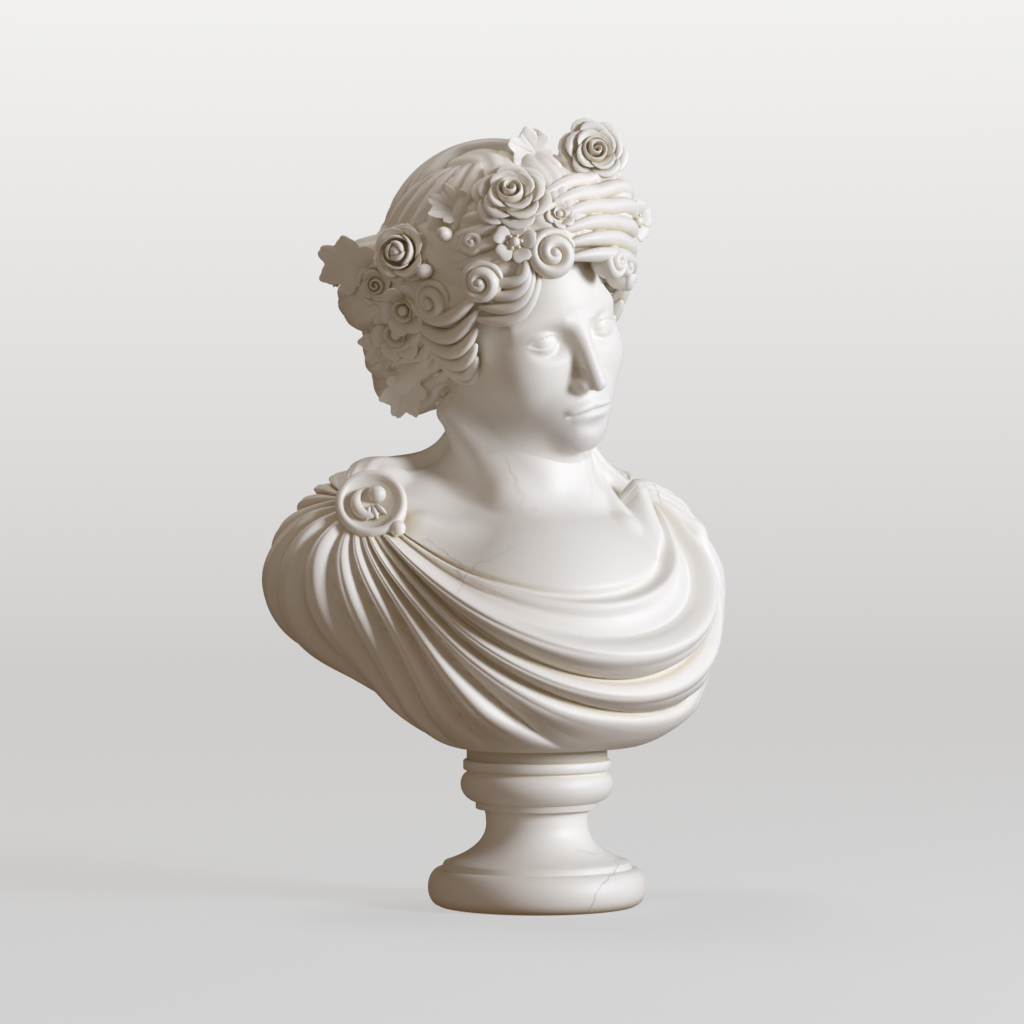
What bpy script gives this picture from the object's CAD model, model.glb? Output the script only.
# A marble bust on a turned socle. The forms of the solids are carved again at full detail: hair in
# locks, a wreath of roses and leaves, cloth in swags, and the veins and the finish of the stone.
import math
import bmesh
import bpy
import numpy as np
from mathutils import Matrix, Vector


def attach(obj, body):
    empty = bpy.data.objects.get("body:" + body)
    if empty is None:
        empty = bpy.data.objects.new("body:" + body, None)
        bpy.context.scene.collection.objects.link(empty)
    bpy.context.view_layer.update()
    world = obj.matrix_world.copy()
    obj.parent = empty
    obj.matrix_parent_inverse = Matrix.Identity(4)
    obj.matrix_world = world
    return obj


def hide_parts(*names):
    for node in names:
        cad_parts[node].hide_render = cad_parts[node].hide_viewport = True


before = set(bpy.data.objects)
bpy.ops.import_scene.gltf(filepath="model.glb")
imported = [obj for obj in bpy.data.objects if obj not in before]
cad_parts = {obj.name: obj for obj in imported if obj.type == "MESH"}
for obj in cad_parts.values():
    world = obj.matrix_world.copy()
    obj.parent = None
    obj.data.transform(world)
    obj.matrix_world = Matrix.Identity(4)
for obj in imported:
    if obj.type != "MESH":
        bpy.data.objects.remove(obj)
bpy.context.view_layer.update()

# Named sizes, in millimetres and degrees, as in the part's source.
SOCLE_HEIGHT = 128
COLLAR_RADIUS = 62
COLLAR_HEIGHT = 34
HEM_HEIGHT = 11
CHEST_HALF_WIDTH = 138
CHEST_HALF_DEPTH = 98
SHOULDER_HEIGHT = 164
RIGHT_SHOULDER_REACH = 138
LEFT_SHOULDER_REACH = 98
NECK_RADIUS = 60
CLOTH_THICKNESS = 7
NECKLINE = 72
REAR_NECKLINE = 285
NECKLINE_HOLLOW = 5
COWL_DEPTH = 20
SWAG_DEPTH = 14
BACK_DEPTH = 6
SWAG_FAN = 18
RIGHT_ARM = 172
BROOCH_DIAMETER = 62
BROOCH_THICKNESS = 14
HEAD_CENTRE = np.array([-20.0, 4, 386])
HEAD_TURN = 13
HEAD_BOW = 7
HEAD_LEAN = 15
NECK_FOOT = 205
NECK_TOP = 330
HAIR_LOCKS = 18
LOCK_DEPTH = 7

# How far out the rays that find each form start.
CHEST_REACH = 330
NECK_REACH = 140
HEAD_REACH = 220

# In metres, the unit of the frame.
MILLIMETRE = 0.001


# Clay: forms are distances, negative inside, and they blend where they meet.
def step(low, high, v):
    t = np.clip((v - low) / (high - low), 0, 1)
    return t * t * (3 - 2 * t)


def bell(v, width):
    return np.exp(-(v / width) ** 2)


def mix(a, b, t):
    return a + (b - a) * t


def join(a, b, blend):
    h = np.maximum(blend - np.abs(a - b), 0) / blend
    return np.minimum(a, b) - h * h * blend / 4


def hollow(a, b, blend):
    return -join(-a, b, blend)


def ellipsoid(p, centre, radii):
    q = p - centre
    k0 = np.linalg.norm(q / radii, axis=1)
    k1 = np.linalg.norm(q / np.square(radii), axis=1)
    return k0 * (k0 - 1) / np.maximum(k1, 1e-9)


def cone(p, a, ra, b, rb):
    a = np.array(a, float)
    along = np.array(b, float) - a
    t = np.clip((p - a) @ along / (along @ along), 0, 1)
    return np.linalg.norm(p - a - t[:, None] * along, axis=1) - mix(ra, rb, t)


def mirrored(p):
    return np.abs(p * [1, 0, 0]) + p * [0, 1, 1]


# Where rays that come in towards a centre meet a form.
def meet(centre, ways, reach, form, tags=None):
    far = np.full(len(ways), float(reach))
    left = np.arange(len(ways))
    centre = np.broadcast_to(centre, ways.shape)
    tags = ways if tags is None else tags
    for _ in range(260):
        d = form(centre[left] + ways[left] * far[left, None], tags[left])
        open_air = d > 0.03
        left = left[open_air]
        if not len(left):
            break
        d = d[open_air]
        far[left] -= np.maximum(d * mix(0.45, 0.85, step(25, 60, d)), 0.05)
    return centre + ways * far[:, None]


def outward(form, p):
    steps = np.eye(3) * 2
    slope = np.array([form(p[None] + s, None)[0] - form(p[None] - s, None)[0] for s in steps])
    return slope / np.linalg.norm(slope)


# Chest, shoulders and neck.
def body(p):
    right = -RIGHT_SHOULDER_REACH
    left = LEFT_SHOULDER_REACH
    d = ellipsoid(p, [0, -25, 110], [CHEST_HALF_WIDTH, CHEST_HALF_DEPTH, 116])
    d = join(d, ellipsoid(p, [right, 40, SHOULDER_HEIGHT], [80, 72, 68]), 55)
    d = join(d, ellipsoid(p, [left, 40, SHOULDER_HEIGHT - 12], [76, 70, 68]), 55)
    d = join(d, ellipsoid(p, [-5, 36, 168], [132, 76, 78]), 40)
    d = join(d, cone(p, [-15, 38, 246], 30, [right, 46, 206], 34), 40)
    d = join(d, cone(p, [-5, 38, 240], 30, [left, 42, 196], 32), 40)
    d = join(d, cone(p, [-3, 24, 200], NECK_RADIUS + 6, [-9, 18, 246], NECK_RADIUS - 4), 34)
    d = join(d, cone(p, [6, -62, 158], 7, [-46, -30, 232], 9), 16)
    d = join(d, cone(p, [14, -60, 158], 6, [40, -30, 232], 7), 14)
    d = join(d, cone(p, [-24, -66, 160], 6, [-120, -22, 206], 7), 20)
    return join(d, cone(p, [34, -66, 160], 6, [100, -22, 202], 7), 20)


def throat(p):
    d = cone(p, [-3, 24, 200], NECK_RADIUS + 10, [-8, 18, 236], NECK_RADIUS + 1)
    d = join(d, cone(p, [-8, 18, 236], NECK_RADIUS + 1, [-20, 6, 330], NECK_RADIUS - 3), 20)
    d = join(d, cone(p, [4, -58, 166], 9, [-80, 6, 306], 13), 16)
    return join(d, cone(p, [14, -58, 166], 8, [34, -2, 306], 11), 16)


# Cloth: each swag is an arc through the brooch and the left shoulder on a plane that is the view
# from the chest's middle. Complex numbers hold the places on that plane.
CHEST = np.array([0.0, 15, 130])
HOLDS = np.array([[-166.0, -4, 224], [86, -8, 240]])
SWAG_SHEAR = 0.3
MIDDLE = 0.5


def drawn(ways):
    v = ways[:, 2] / (1 - ways[:, 1])
    return ways[:, 0] / (1 - ways[:, 1]) - SWAG_SHEAR * (MIDDLE - v) + 1j * v


hold_ways = (HOLDS - CHEST) / np.linalg.norm(HOLDS - CHEST, axis=1)[:, None]
RIGHT_HOLD, LEFT_HOLD = drawn(hold_ways)


def ways_on(around, along):
    share = np.clip(along, 1e-6, 1 - 1e-6)
    ratio = np.tan(share * math.pi / 2) * np.exp(-1j * np.radians(around))
    w = (RIGHT_HOLD + LEFT_HOLD * ratio) / (1 + ratio)
    x = w.real + SWAG_SHEAR * (MIDDLE - w.imag)
    s = x * x + w.imag ** 2
    return np.column_stack([2 * x, s - 1, 2 * w.imag]) / (s + 1)[:, None]


def swag_of(ways):
    w = drawn(ways)
    ratio = (w - RIGHT_HOLD) / (LEFT_HOLD - w)
    return np.degrees(-np.angle(ratio)) % 360, 2 * np.arctan(np.abs(ratio)) / math.pi


# Where each swag starts, from the neckline down and round to the back, and how far it stands out.
SWAGS = np.array([
    [-1, 0],
    [NECKLINE, -NECKLINE_HOLLOW],
    [NECKLINE + 11, COWL_DEPTH],
    [NECKLINE + 22, SWAG_DEPTH],
    [NECKLINE + 29, SWAG_DEPTH * 0.8],
    [NECKLINE + 37, SWAG_DEPTH * 1.1],
    [NECKLINE + 45, SWAG_DEPTH * 0.8],
    [NECKLINE + 53, SWAG_DEPTH * 0.9],
    [NECKLINE + 62, SWAG_DEPTH * 0.8],
    [NECKLINE + 74, SWAG_DEPTH * 0.7],
    [NECKLINE + 88, SWAG_DEPTH * 0.6],
    [NECKLINE + 104, BACK_DEPTH],
    [NECKLINE + 124, BACK_DEPTH],
    [NECKLINE + 144, BACK_DEPTH],
    [NECKLINE + 164, BACK_DEPTH],
    [NECKLINE + 184, BACK_DEPTH],
    [REAR_NECKLINE, 0],
    [400, 0],
])


def swag_section(t):
    return np.abs(np.sin(math.pi * t ** 0.6)) ** 0.8


# How far the folds stand out: deepest over the right arm, gathered at both holds, and creased.
def folds(p, ways):
    around, along = swag_of(ways)
    below = around - NECKLINE
    fan = SWAG_FAN * step(0.1, 0.7, along) * step(20, 64, below) * step(175, 120, around)
    wander = 1.6 * np.sin(9 * along + 0.11 * around) * step(20, 34, below)
    at = np.clip(around - fan + wander, 0, 399)
    swag = np.searchsorted(SWAGS[:, 0], at, side="right") - 1
    start, height = SWAGS[swag].T
    span = SWAGS[swag + 1, 0] - start
    t = (at - start) / span
    near_right = np.linalg.norm(p - HOLDS[0], axis=1)
    near_left = np.linalg.norm(p - HOLDS[1], axis=1)
    width = np.radians(span) * near_right * near_left / (near_right + near_left)
    creases = 0.16 * np.abs(np.sin(3 * math.pi * t)) * step(0.55, 0.12, along)
    ridges = np.abs(np.sin(2.5 * math.pi * t + 4 * along)) - 0.5
    creases = creases + 0.14 * ridges * step(0.35, 0.6, along)
    height = height * (1 + 0.5 * bell(around - RIGHT_ARM, 24) * step(0.8, 0.35, along))
    room = step(0, 1.1, width / np.maximum(height, 1))
    return height * room * (1.2 * swag_section(t) - 0.2 + creases)


# Rolls of cloth that fall from the left shoulder over the swags, each from its top end down.
ROLLS = [
    ([61, 18, 254], 8, [58, -52, 203], 8),
    ([58, -52, 203], 8, [36, -90, 158], 5),
    ([84, -28, 236], 10, [95, -71, 146], 11),
    ([95, -71, 146], 11, [47, -108, 92], 7),
    ([112, 0, 228], 10, [146, -18, 198], 8),
    ([146, -18, 198], 8, [137, -56, 130], 8),
    ([137, -56, 130], 8, [111, -85, 74], 5),
]


# Body and cloth: a rolled edge along the neckline, undercut, and a hem clear of the socle.
def draped(p, ways):
    around, along = swag_of(ways)
    bare = np.maximum(NECKLINE - around, around - REAR_NECKLINE)
    cloth = step(0.7, -0.7, bare)
    hem = step(HEM_HEIGHT - 4, HEM_HEIGHT + 40, p[:, 2])
    free = step(18, 60, np.linalg.norm(p - HOLDS[0], axis=1))
    rolled = mix(4, 7, step(0.4, 0.8, along)) * bell(bare + 2.4, 2.4) * free
    undercut = 3.5 * bell(bare - 2.2, 1.8) * free
    d = body(p) + undercut - cloth * (CLOTH_THICKNESS + folds(p, ways) * hem + rolled)
    d = join(d, cone(p, [-60, 66, 246], 20, [-136, 44, 240], 22), 14)
    d = join(d, cone(p, [-136, 40, 240], 22, [-176, 14, 212], 14), 14)
    d = join(d, cone(p, [-60, 70, 240], 20, [46, 60, 232], 20), 16)
    d = join(d, cone(p, [46, 60, 232], 19, [78, 14, 226], 15), 14)
    for one in ROLLS:
        d = join(d, cone(p, *one), 12)
    d = join(d, throat(p), 14)
    return hollow(hollow(d, 300 - p[:, 2], 4), p[:, 2] - HEM_HEIGHT, 12)


# Head, in its own frame: origin between the ears at eye level, facing -Y.
def eyes(q):
    ball = ellipsoid(q, [31, -73, -4], [13.6, 13.6, 13.6])
    lid = ellipsoid(q, [31, -73, -4], [16, 15.6, 16])
    y = q[:, 1] + 73
    z = q[:, 2] + 4

    def lift(angle):
        return -y * math.sin(math.radians(angle)) + z * math.cos(math.radians(angle))

    upper = hollow(lid, lift(-24) - 0.4, 1)
    lower = hollow(lid, -0.4 - lift(15), 1)
    return np.minimum(ball, join(upper, lower, 1))


def face(p):
    q = mirrored(p)
    d = ellipsoid(p, [0, 5, 20], [75, 97, 88])
    d = join(d, ellipsoid(p, [0, -28, -36], [61, 62, 74]), 26)
    d = join(d, ellipsoid(q, [37, -58, -30], [24, 24, 27]), 26)
    d = join(d, ellipsoid(p, [0, -42, -72], [45, 46, 33]), 22)
    d = join(d, ellipsoid(p, [0, -77, -93], [19, 15, 15]), 20)
    d = join(d, ellipsoid(p, [0, -66, -66], [31, 27, 25]), 16)
    d = join(d, cone(q, [14, -88, 9], 5, [50, -66, 12], 5), 16)
    d = hollow(d, ellipsoid(q, [30, -98, -4], [19, 17, 11]), 12)
    d = join(d, eyes(q), 3)
    d = join(d, cone(p, [0, -86, 14], 8, [0, -108, -44], 7.6), 9)
    d = join(d, ellipsoid(q, [9.5, -97, -46], [6, 8.5, 6]), 7)
    d = hollow(d, ellipsoid(q, [5.4, -101, -53], [3.2, 5, 3]), 3)
    upper_lip = ellipsoid(q + np.outer(q[:, 0], [0, 0, 0.1]), [8, -91, -65.5], [15, 7.5, 4.6])
    lower_lip = ellipsoid(p, [0, -89.5, -75.5], [17, 8.5, 5.4])
    d = join(d, join(upper_lip, lower_lip, 2), 5)
    d = join(d, ellipsoid(p, [0, -70, -70], [27, 20, 9]), 6)
    line = bell(p[:, 2] + 70.4 + 0.002 * p[:, 0] ** 2, 1.6)
    d = d + 1.6 * line * step(26, 20, q[:, 0]) * step(-60, -80, p[:, 1])
    return hollow(d, ellipsoid(p, [0, -103, -85], [15, 9, 5]), 9)


HEAD_FRAME = (
    Matrix.Translation(HEAD_CENTRE)
    @ Matrix.Rotation(math.radians(HEAD_TURN), 4, "Z")
    @ Matrix.Rotation(math.radians(HEAD_BOW), 4, "X")
    @ Matrix.Rotation(math.radians(-HEAD_LEAN), 4, "Y")
)


def moved(p, matrix):
    m = np.array(matrix)
    return p @ m[:3, :3].T + m[:3, 3]


HAIR_CENTRE = np.array([0.0, 10, 10])


# How far outside the face a place on the head is: the hair's edge is at nought.
def beyond_face(p):
    opening = np.hypot(p[:, 0] / 96, (p[:, 2] + 40) / 104)
    back = mix(22, -20, step(-72, -28, p[:, 2]))
    return np.maximum((opening - 1) * 60, p[:, 1] - back)


def hair_cap(p, _=None):
    d = ellipsoid(p, [2, 6, 46], [102, 112, 104])
    d = join(d, ellipsoid(p, [0, 50, -24], [70, 50, 62]), 30)
    d = join(d, ellipsoid(p, [-82, 74, 44], [34, 34, 42]), 16)
    d = join(d, ellipsoid(p, [-72, 62, -22], [32, 32, 42]), 16)
    return join(d, ellipsoid(p, [70, -42, 84], [32, 32, 40]), 16)


def hair_mass(p):
    return hollow(hair_cap(p), beyond_face(p), 22)


# Locks wind out of a whorl at the back of the head and run forward in waves, deepest low down.
def locks(ways):
    from_back = np.arccos(np.clip(ways[:, 1], -1, 1))
    low = step(0.75, -0.1, ways[:, 2])
    wave = mix(0.05, 0.13, low) * np.sin(6 * from_back + 1) + 0.02 * np.sin(14 * from_back)
    whorl = 1.2 * bell(from_back, 0.6)
    around = np.arctan2(ways[:, 0], ways[:, 2]) + wave + whorl
    lock = np.abs(np.sin(around * HAIR_LOCKS / 2 + 0.5 * np.sin(3 * around))) ** 0.6
    tress = np.abs(np.sin(around * HAIR_LOCKS * 1.5 + 1.2 * np.sin(3 * from_back)))
    fine = np.abs(np.sin(around * HAIR_LOCKS * 5))
    depth = LOCK_DEPTH * mix(0.75, 1.1, low) * lock + 1.6 * tress + 0.5 * fine
    return depth * step(0, 0.3, from_back)


# Blocks of stone to carve: unit spheres whose vertices are moved.
def ball(columns, rows):
    block = bmesh.new()
    bmesh.ops.create_uvsphere(block, u_segments=columns, v_segments=rows, radius=1)
    return block


# The column and the row that each vertex of a block stands in, as shares of one.
def places(block):
    p = np.array([v.co for v in block.verts])
    column = np.arctan2(p[:, 1], p[:, 0]) / (2 * math.pi)
    return column, np.arccos(np.clip(p[:, 2], -1, 1)) / math.pi


def shape(block, p):
    for vertex, place in zip(block.verts, p):
        vertex.co = place
    bmesh.ops.recalc_face_normals(block, faces=block.faces)
    return block


# Puts blocks, carved in the bust's frame in millimetres, together as one piece in metres.
def piece(name, blocks, base):
    mesh = bpy.data.meshes.new(name)
    part = bpy.data.meshes.new("part")
    whole = bmesh.new()
    for block in blocks:
        block.to_mesh(part)
        block.free()
        whole.from_mesh(part)
    bpy.data.meshes.remove(part)
    bmesh.ops.translate(whole, verts=whole.verts, vec=(0, 0, base))
    bmesh.ops.scale(whole, verts=whole.verts, vec=(MILLIMETRE,) * 3)
    whole.to_mesh(mesh)
    whole.free()
    thing = bpy.data.objects.new(name, mesh)
    bpy.context.scene.collection.objects.link(thing)
    mesh.polygons.foreach_set("use_smooth", [True] * len(mesh.polygons))
    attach(thing, "root")
    return thing


# Columns crowd towards the folds in front.
def torso():
    block = ball(420, 184)
    column, row = places(block)
    degrees = column * 360
    around = NECKLINE + 28 + degrees - 44 * np.sin(np.radians(degrees))
    ways = ways_on(around, row)
    return shape(block, meet(CHEST, ways, CHEST_REACH, draped))


def collar():
    block = bmesh.new()
    middle = Matrix.Translation((0, 0, COLLAR_HEIGHT / 2))
    bmesh.ops.create_cone(block, cap_ends=True, segments=96, radius1=COLLAR_RADIUS,
                          radius2=COLLAR_RADIUS, depth=COLLAR_HEIGHT, matrix=middle)
    return block


def skin(p):
    inverse = HEAD_FRAME.inverted()
    return join(throat(p), face(moved(p, inverse)), 14)


def neck():
    block = ball(120, 80)
    column, row = places(block)
    z = mix(NECK_FOOT, NECK_TOP, np.clip((row - 0.04) / 0.92, 0, 1))
    t = (z - NECK_FOOT) / (NECK_TOP - NECK_FOOT)
    middle = np.column_stack([mix(-3, -20, t), mix(22, 8, t), z])
    angle = column * 2 * math.pi
    ways = np.column_stack([np.cos(angle), np.sin(angle), np.zeros(len(z))])
    side = meet(middle, ways, NECK_REACH, lambda p, _: skin(p) + 2.5 * step(290, 328, p[:, 2]))
    ends = ((row < 0.001) | (row > 0.999))[:, None]
    return shape(block, np.where(ends, middle, side))


# Columns and rows crowd towards the face.
def head():
    block = ball(300, 230)
    column, row = places(block)
    angle = column * 2 * math.pi
    turn = angle - 0.6 * np.sin(angle)
    fall = row * math.pi + 0.28 * np.sin(row * 2 * math.pi)
    out = np.sin(fall)
    ways = np.column_stack([out * np.sin(turn), -out * np.cos(turn), np.cos(fall)])
    inverse = HEAD_FRAME.inverted()

    def form(p, _):
        return join(throat(moved(p, HEAD_FRAME)), face(p), 14)

    def shut(p, w):
        return hollow(form(p, w), p[:, 2] + 130, 6)

    carved = meet(np.array([0.0, -20, -28]), ways, HEAD_REACH, shut)
    return shape(block, moved(carved, HEAD_FRAME))


def hair():
    block = ball(440, 120)
    p = np.array([v.co for v in block.verts])
    ways = np.column_stack([p[:, 0], p[:, 2], p[:, 1]])
    covered = 1 - 0.65 * step(0.3, -0.2, ways[:, 1]) * step(0.8, 0.4, np.abs(ways[:, 2]))
    depth = locks(ways) * covered

    def form(p, at):
        return hair_mass(p) - depth[at] * step(0, 16, beyond_face(p))

    carved = meet(HAIR_CENTRE, ways, HEAD_REACH, form, np.arange(len(ways)))
    return shape(block, moved(carved, HEAD_FRAME))


# A closed strand of hair or a thick lip of a petal: rows run along its path, columns round its
# flattened section, which lies on the surface whose outward direction is given.
def strand(path, out, width, depth, rows=70, columns=16, taper=0.6, combs=0):
    block = ball(columns, rows)
    column, row = places(block)
    t = np.clip(row, 0, 1)
    middle = path(t)
    along = path(np.minimum(t + 0.002, 1)) - path(np.maximum(t - 0.002, 0))
    along /= np.linalg.norm(along, axis=1)[:, None]
    up = out(t, middle)
    up = up - along * np.sum(up * along, axis=1)[:, None]
    up /= np.linalg.norm(up, axis=1)[:, None]
    side = np.cross(along, up)
    full = np.abs(np.sin(math.pi * t)) ** taper
    angle = column * 2 * math.pi
    comb = 1 - 0.1 * np.abs(np.sin(combs * angle)) if combs else 1
    across = np.cos(angle) * width / 2 * full
    above = np.sin(angle) * depth / 2 * full * comb
    return shape(block, middle + side * across[:, None] + up * above[:, None])


def flat_out(_, middle):
    return np.tile([0.0, 0, 1], (len(middle), 1))


# A snail of hair facing +Z, wound in turns that rise to its middle.
def curl(size, turns=2.1):
    radius = size / 2 - 4

    def path(t):
        r = radius * (1 - t) ** 0.85
        a = 2 * math.pi * turns * t
        return np.column_stack([r * np.cos(a), r * np.sin(a), 1 + size * 0.16 * t])

    heart = ball(20, 14)
    bmesh.ops.scale(heart, verts=heart.verts, vec=(size * 0.09, size * 0.09, size * 0.1))
    bmesh.ops.translate(heart, verts=heart.verts, vec=(0, 0, size * 0.2))
    bed = ball(40, 14)
    bmesh.ops.scale(bed, verts=bed.verts, vec=(radius, radius, size * 0.14))
    for vertex in bed.verts:
        vertex.co.z *= 1 if vertex.co.z > 0 else 4
    lock = strand(path, flat_out, size * 0.24, size * 0.32, rows=110, taper=0.35, combs=2)
    return [lock, heart, bed]


# One petal of a flower that faces +Z: a bent disc between a foot radius and a lip.
def petal(at, spread, foot, lip, height, roll=0.0, close=0.0, notch=0.0, thick=2.6, twist=0.12):
    block = ball(18, 14)
    p = np.array([v.co for v in block.verts])
    u = p[:, 0]
    v = (p[:, 1] + 1) / 2
    wall = np.sign(p[:, 2]) * np.abs(p[:, 2]) ** 0.7 * thick / 2
    v = v * (1 - notch * bell(u, 0.3) * v ** 3)
    angle = at + spread * u
    radius = foot + (lip - foot) * v ** 0.8 - close * v ** 4 + roll * v ** 6 + twist * lip * u * v
    rise = height * np.sin(np.minimum(v, 1) * math.pi / 2) - roll * v ** 6 * 0.9
    lean = math.atan2(height, max(lip - foot, 1))
    radius = radius + wall * math.sin(lean)
    rise = rise + wall * math.cos(lean)
    return shape(block, np.column_stack([radius * np.cos(angle), radius * np.sin(angle), rise]))


def petals(count, start=0.0, overlap=1.25, **form):
    spread = math.pi / count * overlap
    return [petal(start + 2 * math.pi * i / count, spread, **form) for i in range(count)]


def bead(radius, x=0.0, y=0.0, z=0.0):
    block = ball(16, 10)
    bmesh.ops.scale(block, verts=block.verts, vec=(radius, radius, radius))
    bmesh.ops.translate(block, verts=block.verts, vec=(x, y, z))
    return block


# A full rose: a wound heart, then rings of petals that open outwards.
def rose(size, lip_turns=2.4):
    r = size / 2

    def path(t):
        radius = r * 0.42 * (1 - t) ** 0.9
        a = 2 * math.pi * lip_turns * t
        return np.column_stack([radius * np.cos(a), radius * np.sin(a), r * (0.34 + 0.2 * t)])

    blocks = [strand(path, flat_out, r * 0.11, r * 0.5, rows=120, columns=14, taper=0.3)]
    blocks += petals(4, 0.3, foot=r * 0.2, lip=r * 0.56, height=r * 0.56, roll=r * 0.1, thick=3)
    blocks += petals(5, 0.0, foot=r * 0.3, lip=r * 0.78, height=r * 0.44, roll=r * 0.12, thick=3)
    blocks += petals(6, 0.5, foot=r * 0.35, lip=r * 0.98, height=r * 0.26, roll=r * 0.08, thick=3)
    bed = bead(1)
    bmesh.ops.scale(bed, verts=bed.verts, vec=(r * 0.62, r * 0.62, r * 0.4))
    return blocks + [bed]


def rosebud(size):
    r = size / 2
    heart = bead(1)
    bmesh.ops.scale(heart, verts=heart.verts, vec=(r * 0.4, r * 0.4, r * 0.75))
    bmesh.ops.translate(heart, verts=heart.verts, vec=(0, 0, r * 0.35))
    blocks = [heart]
    blocks += petals(3, 0.9, foot=r * 0.14, lip=r * 0.46, height=r * 1.08, close=r * 0.26, thick=3)
    blocks += petals(3, 0.0, foot=r * 0.34, lip=r * 0.72, height=r * 0.96, close=r * 0.2, thick=3)
    blocks += petals(4, 0.6, foot=r * 0.4, lip=r * 0.86, height=r * 0.72, roll=r * 0.16, thick=3)
    return blocks + petals(5, 0.2, foot=r * 0.3, lip=r * 1.0, height=r * 0.2, roll=r * 0.1, thick=3)


def blossom(size, count=5):
    r = size / 2
    heart = bead(r * 0.24, z=r * 0.24)
    ring = petals(count, 0.0, 1.02, foot=r * 0.08, lip=r, height=r * 0.36,
                  roll=r * 0.12, notch=0.14, thick=2.8, twist=0.04)
    seeds = [
        bead(r * 0.09, r * 0.3 * math.cos(a), r * 0.3 * math.sin(a), r * 0.26)
        for a in np.arange(6) * math.pi / 3
    ]
    return ring + [heart] + seeds


def rosette(size, count=6):
    r = size / 2
    inner = petals(3, 0.4, foot=r * 0.16, lip=r * 0.5, height=r * 0.5, close=r * 0.08, thick=2.4)
    outer = petals(count, 0.0, 1.2, foot=r * 0.3, lip=r, height=r * 0.42, roll=r * 0.1, thick=2.6)
    return outer + inner + [bead(r * 0.22, z=r * 0.34)]


# A closed bud: a plump oval on a short stalk.
def berry(size):
    block = ball(28, 18)
    bmesh.ops.scale(block, verts=block.verts, vec=(size * 0.42, size * 0.42, size * 0.6))
    bmesh.ops.translate(block, verts=block.verts, vec=(0, 0, size * 0.35))
    stalk = bead(size * 0.2, z=-size * 0.2)
    bmesh.ops.scale(stalk, verts=stalk.verts, vec=(1, 1, 3))
    return [block, stalk]


# A vine leaf along +X: pointed lobes, a sunk midrib and side veins, edges curling up.
def leaf(size, lobes=3):
    block = ball(96, 26)
    column, row = places(block)
    angle = column * 2 * math.pi
    out = np.sin(math.pi * row)
    teeth = np.abs(np.cos(angle * (lobes + 0.5))) ** 1.5
    reach = size * (0.36 + 0.12 * np.cos(angle) + 0.14 * teeth + 0.03 * np.abs(np.sin(9 * angle)))
    x = reach * out * np.cos(angle) + size * 0.3
    y = reach * out * np.sin(angle) * 0.9
    side_vein = bell(np.abs(y) - 0.55 * (x - size * 0.2), size * 0.02) * step(0, 3, np.abs(y))
    vein = bell(y, size * 0.02) + 0.7 * side_vein
    top = np.cos(math.pi * row)
    z = np.sign(top) * np.abs(top) ** 0.6 * size * 0.05 - 0.8 * vein * (top > 0)
    bend = 0.3 * (x / size) ** 2 + 0.35 * np.abs(y / size) ** 1.5 * 2
    return [shape(block, np.column_stack([x, y, z + size * (bend - 0.02)]))]


def toward(turn, rise):
    t, r = math.radians(turn), math.radians(rise)
    return np.array([math.sin(t) * math.cos(r), -math.cos(t) * math.cos(r), math.sin(r)])


# The wreath: what sits where on the hair, as in the part's source. Turn is round the head from the
# brow to the figure's left, rise is up from the ears; lift is outwards, spin is about the stalk.
WREATH = [
    dict(made=rose, size=60, turn=50, rise=52, lift=14, look=(-20, 10)),
    dict(made=rose, size=66, turn=-24, rise=54, lift=0),
    dict(made=rosebud, size=48, turn=-87, rise=37, lift=8, look=(-50, 20)),
    dict(made=rosette, size=26, turn=-3, rise=43, lift=1),
    dict(made=curl, size=50, turn=-13, rise=30, lift=2),
    dict(made=blossom, size=38, turn=-28, rise=37, lift=4),
    dict(made=curl, size=44, turn=-45, rise=25, lift=3),
    dict(made=curl, size=36, turn=19, rise=20, lift=2),
    dict(made=curl, size=42, turn=-72, rise=19, lift=1),
    dict(made=curl, size=32, turn=-48, rise=40, lift=0),
    dict(made=leaf, size=54, turn=-112, rise=24, lift=6, spin=145, look=(-50, 0)),
    dict(made=rose, size=44, turn=-110, rise=22, lift=3, look=(-55, 5)),
    dict(made=rosette, size=46, turn=-108, rise=0, lift=5, look=(-55, 0)),
    dict(made=blossom, size=34, turn=-134, rise=20, lift=4),
    dict(made=leaf, size=42, turn=-110, rise=2, lift=4, spin=225, look=(-60, 0)),
    dict(made=rosette, size=42, turn=-92, rise=14, lift=4, look=(-50, 5)),
    dict(made=rosette, size=36, turn=-104, rise=-40, lift=2, look=(-60, -20)),
    dict(made=leaf, size=44, turn=-106, rise=-22, lift=4, spin=240, look=(-60, -10)),
    dict(made=blossom, size=38, turn=54, rise=28, lift=3, look=(0, 0)),
    dict(made=curl, size=32, turn=33, rise=17, lift=0),
    dict(made=curl, size=32, turn=50, rise=8, lift=0),
    dict(made=leaf, size=42, turn=30, rise=66, lift=4, spin=150, look=(-30, 10)),
    dict(made=rosebud, size=22, turn=50, rise=74, lift=10, look=(-30, 10)),
    dict(made=rosebud, size=22, turn=72, rise=50, lift=6),
    dict(made=leaf, size=38, turn=-52, rise=52, lift=3, spin=160),
    dict(made=berry, size=15, turn=-73, rise=31, lift=3),
    dict(made=berry, size=18, turn=30, rise=74, lift=8),
    dict(made=berry, size=15, turn=72, rise=60, lift=6),
    dict(made=berry, size=15, turn=-62, rise=44, lift=3),
    dict(made=curl, size=28, turn=-112, rise=-12, lift=1, look=(-70, -5)),
    dict(made=curl, size=26, turn=-98, rise=-30, lift=1, look=(-60, -15)),
]
BACK_BLOOMS = 5
for i in range(BACK_BLOOMS):
    t = (i + 1) / (BACK_BLOOMS + 1)
    WREATH.append(dict(made=blossom, size=36, turn=mix(220, 60, t), rise=mix(14, 36, t), lift=3))


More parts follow.
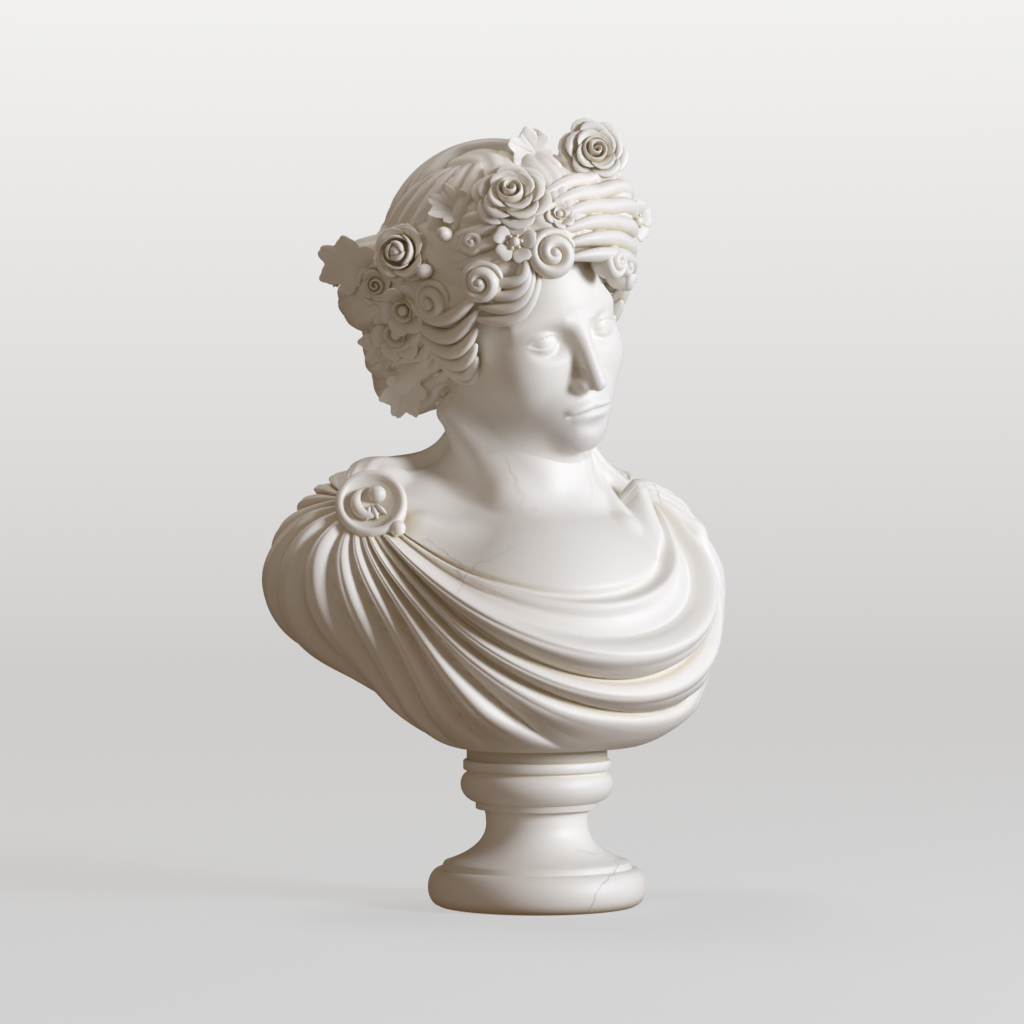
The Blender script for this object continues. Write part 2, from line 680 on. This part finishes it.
def placed(made, size, turn, rise, lift=0, spin=0, look=None):
    way = toward(turn, rise)
    seat = meet(HAIR_CENTRE, way[None], HEAD_REACH, hair_cap)[0]
    normal = outward(hair_cap, seat)
    seat = seat + normal * lift
    if look:
        normal = normal * 0.25 + toward(*look) * 0.75
        normal /= np.linalg.norm(normal)
    side = np.cross([0, 0, 1], normal)
    side /= np.linalg.norm(side)
    stance = Matrix(np.column_stack([side, np.cross(normal, side), normal])).to_4x4()
    stance.translation = Vector(seat)
    stance = HEAD_FRAME @ stance @ Matrix.Rotation(math.radians(spin), 4, "Z")
    blocks = made(size)
    for block in blocks:
        bmesh.ops.transform(block, matrix=stance, verts=block.verts)
    return blocks


# A tress laid over the hair between two places on it, with a sway to one side.
def tress(start, end, sway, width, depth, lift=0.0, combs=3):
    a, b = toward(*start), toward(*end)
    axis = np.cross(a, b)
    axis /= np.linalg.norm(axis)
    t = np.linspace(0, 1, 41)
    ways = np.outer(1 - t, a) + np.outer(t, b) + np.outer(np.sin(math.pi * t) * sway, axis)
    ways /= np.linalg.norm(ways, axis=1)[:, None]
    seats = meet(HAIR_CENTRE, ways, HEAD_REACH, hair_cap) + ways * lift

    def path(u):
        return np.column_stack([np.interp(u, t, seats[:, i]) for i in range(3)])

    def out(_, middle):
        return middle - HAIR_CENTRE

    block = strand(path, out, width, depth, rows=60, columns=20, taper=0.5, combs=combs)
    bmesh.ops.transform(block, matrix=HEAD_FRAME, verts=block.verts)
    return block


# Crescents hang one below another down each temple, locks sweep from curl to curl over the brow,
# strands follow the hairline, and broad ones cross the crown.
def tresses():
    blocks = []
    for side, count in ((-1, 7), (1, 6)):
        for i in range(count):
            rise = 16 - 8.5 * i
            sag = -0.2 * side
            brow = (side * (46 + 2.5 * i), rise + 6)
            ear = (side * (92 - i), rise + 3)
            blocks.append(tress(brow, ear, sag, 14, 20, 2))
            ear = (side * (82 - i), rise + 1)
            nape = (side * (124 - i), rise - 2)
            blocks.append(tress(ear, nape, sag, 13, 17, 2))
    for i in range(4):
        blocks.append(tress((-52 + 3 * i, 10 + 5 * i), (-19 - 2 * i, 25 + 4 * i), -0.17, 13, 24, 0))
    for i in range(6):
        blocks.append(tress((-6, 27 + 5 * i), (60, 4 + 7 * i), 0.02, 15, 22, 1))
    for i in range(4):
        blocks.append(tress((-18, 40 + 5 * i), (-60, 32 + 6 * i), 0.08, 13, 15, 2))
    for i in range(4):
        blocks.append(tress((-128 + 8 * i, 42 + 6 * i), (30 + 6 * i, 60 + 7 * i), 0.1, 20, 22, 3))
    for i in range(8):
        blocks.append(tress((-44 - 15 * i, 78 - i), (-62 - 15 * i, 44 - i), 0.06, 19, 17, 2))
    return blocks


# The round brooch: a rimmed disc with a crescent and a ball in low relief, and a knob on its rim.
def brooch():
    seat = meet(CHEST, hold_ways[:1], CHEST_REACH, draped)[0]
    facing = outward(lambda p, _: body(p), seat) * 0.4 + np.array([-0.45, -0.85, 0.2]) * 0.6
    facing /= np.linalg.norm(facing)
    side = np.cross([0, 0, 1], facing)
    side /= np.linalg.norm(side)
    stance = Matrix(np.column_stack([side, np.cross(facing, side), facing])).to_4x4()
    stance.translation = Vector(seat + facing * (BROOCH_THICKNESS + 7))
    r = BROOCH_DIAMETER / 2
    root = -30
    outline = [(0, root), (r - 2, root), (r, -9), (r, -4)]
    outline += [(r - 1.5, -1), (r - 4, 0), (r - 6.5, -1), (r - 8, -4), (0, -3)]
    disc = turned(outline, 96)
    orb = bead(8, 5, 7, -2)

    def path(t):
        angle = math.radians(110) + math.radians(200) * t
        return np.column_stack([13 * np.cos(angle), 13 * np.sin(angle), np.full(len(t), -1.5)])

    def twig(angle):
        def stem(t):
            reach = 4 + 14 * t
            return np.column_stack([reach * math.cos(angle), reach * math.sin(angle), 0 * t - 1.5])

        return strand(stem, flat_out, 5, 7, rows=30, columns=12, taper=0.7)

    crescent = strand(path, flat_out, 10, 9, rows=60, taper=0.8)
    spray = [twig(angle) for angle in np.radians([-100, -70, -40])]
    knob = bead(7, r * 0.75, -r * 0.75, -5)
    blocks = [disc, orb, crescent, knob] + spray
    for block in blocks:
        bmesh.ops.transform(block, matrix=stance, verts=block.verts)
    return blocks


# A profile of radius and height, from axis to axis, turned about Z.
def turned(outline, sides):
    block = bmesh.new()
    points = [block.verts.new((r, 0, z)) for r, z in outline]
    edges = [block.edges.new(pair) for pair in zip(points, points[1:])]
    bmesh.ops.spin(block, geom=points + edges, cent=(0, 0, 0), axis=(0, 0, 1), angle=2 * math.pi,
                   steps=sides, use_merge=True, use_duplicate=False)
    bmesh.ops.remove_doubles(block, verts=block.verts, dist=1e-4)
    bmesh.ops.recalc_face_normals(block, faces=block.faces)
    return block


def srgb(code):
    parts = [int(code[i:i + 2], 16) / 255 for i in (0, 2, 4)]
    return [c / 12.92 if c < 0.04045 else ((c + 0.055) / 1.055) ** 2.4 for c in parts] + [1]


def add(tree, kind, settings=None, **links):
    node = tree.nodes.new(kind)
    for name, value in (settings or {}).items():
        if hasattr(node, name):
            setattr(node, name, value)
        else:
            node.inputs[name].default_value = value
    for name, source in links.items():
        tree.links.new(source, node.inputs[int(name[1:])])
    return node


# Honed marble: a warm white ground, clouds a shade greyer, thin broken veins, an old wax that has
# gone creamy in the hollows, a fine tooth from the abrasive and a low sheen. Object coordinates are
# metres, so a pattern's scale is 1000 over its size in millimetres. The tooth is really under a
# millimetre and is drawn at 4 so that it shows.
def marble():
    stone = bpy.data.materials.new("honed_marble")
    stone.use_nodes = True
    tree = stone.node_tree
    shader = tree.nodes["Principled BSDF"]
    at = add(tree, "ShaderNodeTexCoord").outputs["Object"]
    bent = add(tree, "ShaderNodeTexNoise", {"Scale": 1000 / 140, "Detail": 5}, _0=at)
    shift = add(tree, "ShaderNodeMix", {"data_type": "VECTOR", "Factor": 0.16},
                _4=at, _5=bent.outputs["Color"])
    cells = add(tree, "ShaderNodeTexVoronoi", {"feature": "DISTANCE_TO_EDGE", "Scale": 1000 / 125},
                _0=shift.outputs[1])
    crack = add(tree, "ShaderNodeMapRange",
                {"From Min": 0, "From Max": 0.012, "To Min": 1, "To Max": 0},
                _0=cells.outputs["Distance"])
    patches = add(tree, "ShaderNodeTexNoise", {"Scale": 1000 / 165, "Detail": 3}, _0=at)
    broken = add(tree, "ShaderNodeMapRange", {"From Min": 0.54, "From Max": 0.64},
                 _0=patches.outputs["Fac"])
    vein = add(tree, "ShaderNodeMath", {"operation": "MULTIPLY"},
               _0=crack.outputs[0], _1=broken.outputs[0])
    faint = add(tree, "ShaderNodeMath", {"operation": "MULTIPLY"}, _0=vein.outputs[0])
    faint.inputs[1].default_value = 0.5
    clouds = add(tree, "ShaderNodeTexNoise", {"Scale": 1000 / 90, "Detail": 4}, _0=shift.outputs[1])
    ground = add(tree, "ShaderNodeMix", {"data_type": "RGBA"}, _0=clouds.outputs["Fac"])
    ground.inputs[6].default_value = srgb("F8F6F1")
    ground.inputs[7].default_value = srgb("F0ECE3")
    veined = add(tree, "ShaderNodeMix", {"data_type": "RGBA"},
                 _0=faint.outputs[0], _6=ground.outputs[2])
    veined.inputs[7].default_value = srgb("A9A7A3")
    hollows = add(tree, "ShaderNodeAmbientOcclusion", {"samples": 6, "Distance": 0.012})
    waxed = add(tree, "ShaderNodeMapRange",
                {"From Min": 0.25, "From Max": 0.85, "To Min": 0.75, "To Max": 0},
                _0=hollows.outputs["AO"])
    aged = add(tree, "ShaderNodeMix", {"data_type": "RGBA"},
               _0=waxed.outputs[0], _6=veined.outputs[2])
    aged.inputs[7].default_value = srgb("D8C9A8")
    tree.links.new(aged.outputs[2], shader.inputs["Base Color"])
    tooth = add(tree, "ShaderNodeTexNoise", {"Scale": 1000 / 4, "Detail": 3}, _0=at)
    relief = add(tree, "ShaderNodeBump", {"Strength": 0.12, "Distance": 0.0004},
                 _3=tooth.outputs["Fac"])
    tree.links.new(relief.outputs[0], shader.inputs["Normal"])
    rough = add(tree, "ShaderNodeMapRange", {"To Min": 0.44, "To Max": 0.58},
                _0=clouds.outputs["Fac"])
    tree.links.new(rough.outputs[0], shader.inputs["Roughness"])
    shader.inputs["Subsurface Weight"].default_value = 0.12
    shader.inputs["Subsurface Radius"].default_value = (0.006, 0.0045, 0.003)
    shader.inputs["Subsurface Scale"].default_value = 1.0
    shader.inputs["IOR"].default_value = 1.486
    return stone


# Points of a rounded profile from a to d, drawn towards b and c.
def rounded(a, b, c, d, count=14):
    t = np.linspace(0, 1, count)[:, None]
    a, b, c, d = (np.array(point, float) for point in (a, b, c, d))
    start = a * (1 - t) ** 3 + 3 * b * t * (1 - t) ** 2
    return (start + 3 * c * t * t * (1 - t) + d * t ** 3).tolist()


# The socle's mouldings from the floor up: a fat torus, a deep scotia, a half round and a cap.
def mouldings():
    outline = [(0, 0), (87, 0)]
    outline += rounded((88, 0.6), (99.2, 4), (99.2, 30), (86, 33))
    outline += [(84, 33), (83.6, 34), (82, 38)]
    outline += rounded((81.6, 38.4), (55, 47), (43, 60), (45, 75))
    outline += rounded((45, 75), (45, 80), (46, 84.5), (48, 85), 6)
    outline += [(53.4, 85), (54, 85.6), (54, 90.4), (54.6, 91)]
    outline += rounded((55, 91), (70, 96), (70, 113), (62, 117))
    outline += [(62, 118.4), (62.6, 119), (64.4, 119.6), (65, 120.4), (65, 127.2)]
    outline += [(64.2, SOCLE_HEIGHT), (0, SOCLE_HEIGHT)]
    return turned(outline, 192)


stone = marble()


def set_down(name, blocks, base, node):
    thing = piece(name, blocks, base)
    thing.data.materials.append(stone)
    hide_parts(node)


set_down("chest", [torso(), collar()], SOCLE_HEIGHT, "bust")
set_down("head", [neck(), head()], SOCLE_HEIGHT, "bust")
set_down("hair", [hair()], SOCLE_HEIGHT, "bust")
set_down("tresses", tresses(), SOCLE_HEIGHT, "bust")
set_down("clasp", brooch(), SOCLE_HEIGHT, "bust")
set_down("wreath", [block for item in WREATH for block in placed(**item)], SOCLE_HEIGHT, "bust")
set_down("mouldings", [mouldings()], 0, "socle")

# Camera: level with the chin, well back, 25 degrees to the figure's right of the chest's front.
# A pixel is in metres at the axis; the horizon, the foot and the axis are rows and a column.
PIXEL = 0.88e-3
DISTANCE = 3.6
HORIZON = 446
FOOT = 905
AXIS = 537
PICTURE = 1024
turn = math.radians(25)
right = Vector((math.cos(turn), -math.sin(turn), 0))
towards = Vector((-math.sin(turn), -math.cos(turn), 0))
aside = right * (PICTURE / 2 - AXIS) * PIXEL
aim = aside + Vector((0, 0, (FOOT - PICTURE / 2) * PIXEL))
camera = bpy.data.objects.new("camera", bpy.data.cameras.new("camera"))
bpy.context.scene.collection.objects.link(camera)
bpy.context.scene.camera = camera
camera.location = aside + towards * DISTANCE + Vector((0, 0, (FOOT - HORIZON) * PIXEL))
camera.rotation_euler = (aim - camera.location).to_track_quat("-Z", "Y").to_euler()
camera.data.lens = 36 * DISTANCE / (PICTURE * PIXEL)

# Stage: a round sweep, floor and wall in one, that grows lighter with distance and height.
GLOW = 0.515
GLOW_SLOPE = 0.15
FAR_SHARE = 0.12
sweep_outline = [(0, 0), (4.4, 0)] + rounded((4.5, 0), (5.4, 0), (6, 0.6), (6, 1.5)) + [(6, 5)]
block = turned(sweep_outline, 96)
sweep_mesh = bpy.data.meshes.new("sweep")
block.to_mesh(sweep_mesh)
block.free()
sweep_mesh.polygons.foreach_set("use_smooth", [True] * len(sweep_mesh.polygons))
sweep = bpy.data.objects.new("sweep", sweep_mesh)
bpy.context.scene.collection.objects.link(sweep)
sweep.visible_diffuse = False
sweep.visible_glossy = False
paper = bpy.data.materials.new("pale_paper")
paper.use_nodes = True
tree = paper.node_tree
shader = tree.nodes["Principled BSDF"]
shader.inputs["Base Color"].default_value = srgb("7C7C7C")
shader.inputs["Roughness"].default_value = 1
shader.inputs["Specular IOR Level"].default_value = 0
shader.inputs["Emission Color"].default_value = srgb("FFFFFF")
at = add(tree, "ShaderNodeTexCoord").outputs["Object"]
far = add(tree, "ShaderNodeVectorMath", {"operation": "LENGTH"}, _0=at)
height = add(tree, "ShaderNodeSeparateXYZ", _0=at)
level = add(tree, "ShaderNodeMath", {"operation": "MULTIPLY_ADD"},
            _0=far.outputs["Value"], _2=height.outputs["Z"])
level.inputs[1].default_value = FAR_SHARE
glow = add(tree, "ShaderNodeMath", {"operation": "MULTIPLY_ADD"}, _0=level.outputs[0])
glow.inputs[1].default_value = GLOW_SLOPE
glow.inputs[2].default_value = GLOW
tree.links.new(glow.outputs[0], shader.inputs["Emission Strength"])
sweep_mesh.materials.append(paper)
bpy.context.scene.view_settings.view_transform = "Standard"


def softbox(name, where, size, watts, colour):
    lamp = bpy.data.objects.new(name, bpy.data.lights.new(name, "AREA"))
    bpy.context.scene.collection.objects.link(lamp)
    lamp.location = where
    lamp.rotation_euler = (Vector((0, 0, 0.4)) - lamp.location).to_track_quat("-Z", "Y").to_euler()
    lamp.data.size = size
    lamp.data.energy = watts
    lamp.data.color = srgb(colour)[:3]


softbox("key", right * 2.5 + towards * 1.3 + Vector((0, 0, 1.0)), 0.8, 80, "ECF3FF")
softbox("top", right * -0.6 - towards * 0.6 + Vector((0, 0, 2.9)), 1.0, 26, "F2F2F2")
softbox("fill", right * -1.0 + towards * 2.8 + Vector((0, 0, 0.7)), 1.4, 10, "F2F2F2")
world = bpy.data.worlds.new("studio")
bpy.context.scene.world = world
world.use_nodes = True
world.node_tree.nodes["Background"].inputs["Color"].default_value = srgb("8A6E50")
world.node_tree.nodes["Background"].inputs["Strength"].default_value = 0.5
